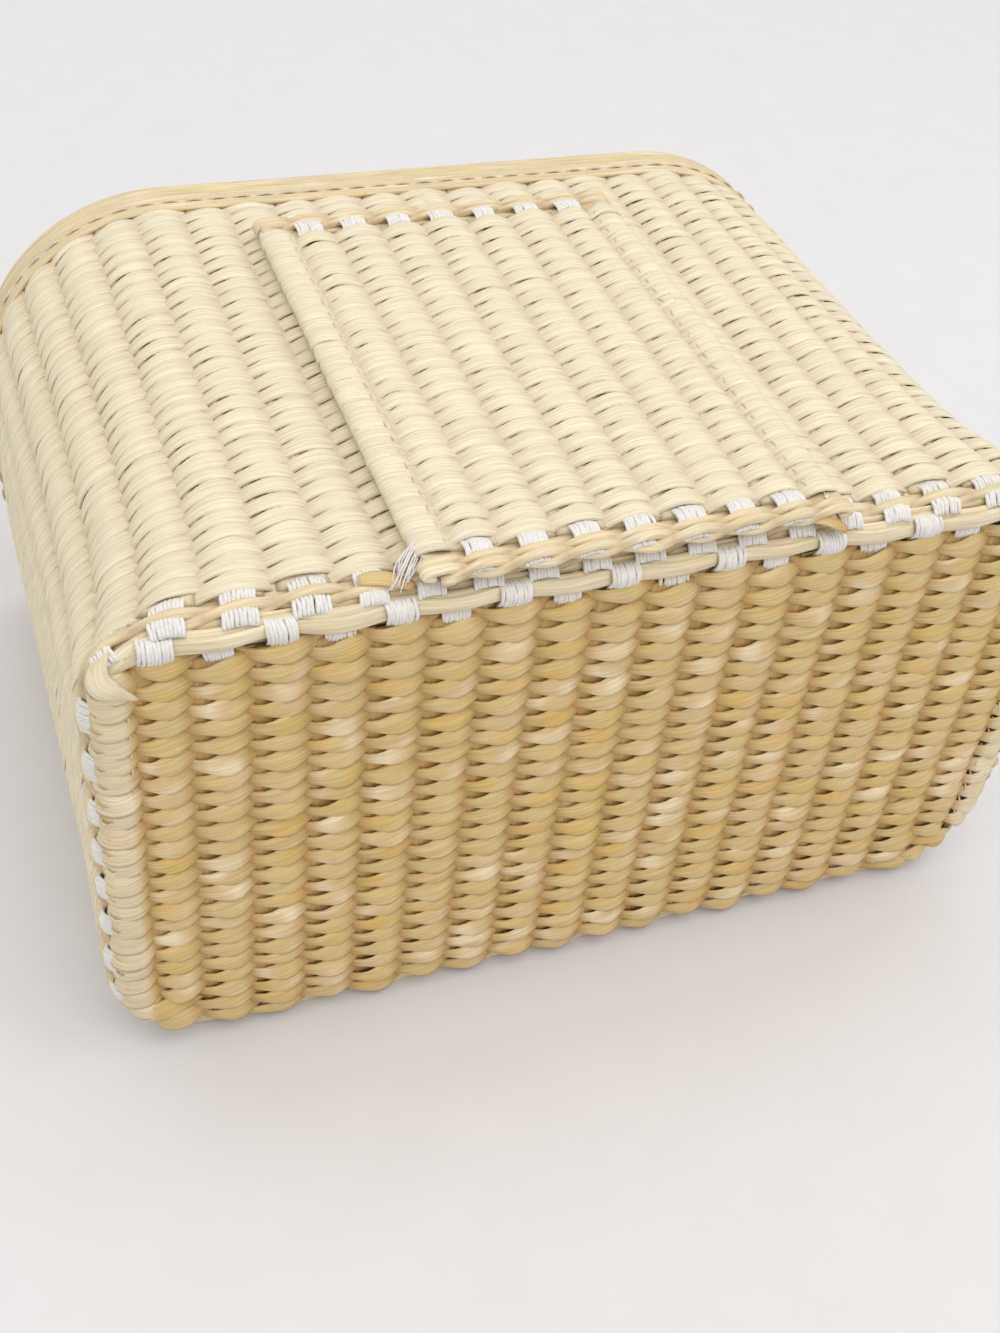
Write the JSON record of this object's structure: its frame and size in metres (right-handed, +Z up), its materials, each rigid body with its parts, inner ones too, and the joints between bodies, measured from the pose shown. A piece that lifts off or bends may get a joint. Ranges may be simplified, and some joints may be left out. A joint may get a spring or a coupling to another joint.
{
  "type": "basket pouch",
  "caption": "Boxy pouch woven from pale straw over white warps: an oblong base, a rounded wall, a woven panel sewn on the front and a bound open mouth.",
  "frame": {"origin": "on the surface that the pouch lies on, under the middle of its box", "axes": "+X along the long side of the base, +Y from the base to the mouth, +Z up out of the wall that carries the front panel"},
  "size_m": [0.197, 0.145, 0.1153],
  "materials": {
    "straw": "woven natural straw, satin, with fine lengthwise fibres",
    "straw_binding": "flat straw binding, satin",
    "white_warp": "white multi-thread warp, matte",
    "sewing_thread": "pale sewing thread, matte"
  },
  "bodies": {
    "root": {"base_mat": "straw", "wall_mat": "straw", "front_panel": "straw", "rim_binding": "straw_binding", "base_warp_ends": "white_warp", "wall_warp_ends": "white_warp", "panel_warp_ends": "white_warp", "base_seam_thread": "sewing_thread", "panel_seam_thread": "sewing_thread"}
  },
  "joints": []
}
